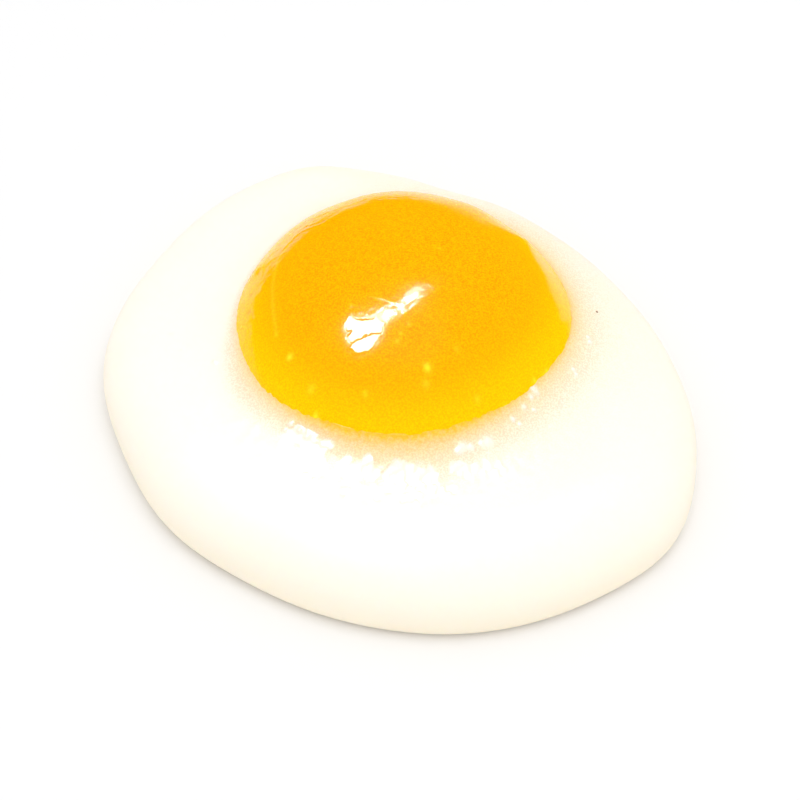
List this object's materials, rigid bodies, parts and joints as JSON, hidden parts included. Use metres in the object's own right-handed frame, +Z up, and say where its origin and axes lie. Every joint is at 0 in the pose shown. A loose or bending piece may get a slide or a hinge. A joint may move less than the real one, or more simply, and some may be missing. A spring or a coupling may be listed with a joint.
{
  "type": "fried egg gummy",
  "caption": "Fried egg gummy: a low, rounded, uneven foamed white with a glossy jelly yolk dome set into its top, off its middle.",
  "frame": {"origin": "middle of the bounding box, on the surface that the gummy lies on", "axes": "+Z up through the yolk; +X to the right and +Y away from the viewer, with the yolk nearer the +Y edge"},
  "size_m": [0.0428, 0.0424, 0.014],
  "materials": {
    "white_foam": "aerated cream-white gummy foam, smooth and softly satin, more matt underneath",
    "yolk_jelly": "translucent yellow-orange jelly, glossy, yellower towards its rim"
  },
  "bodies": {
    "root": {"white": "white_foam", "yolk": "yolk_jelly"}
  },
  "joints": []
}
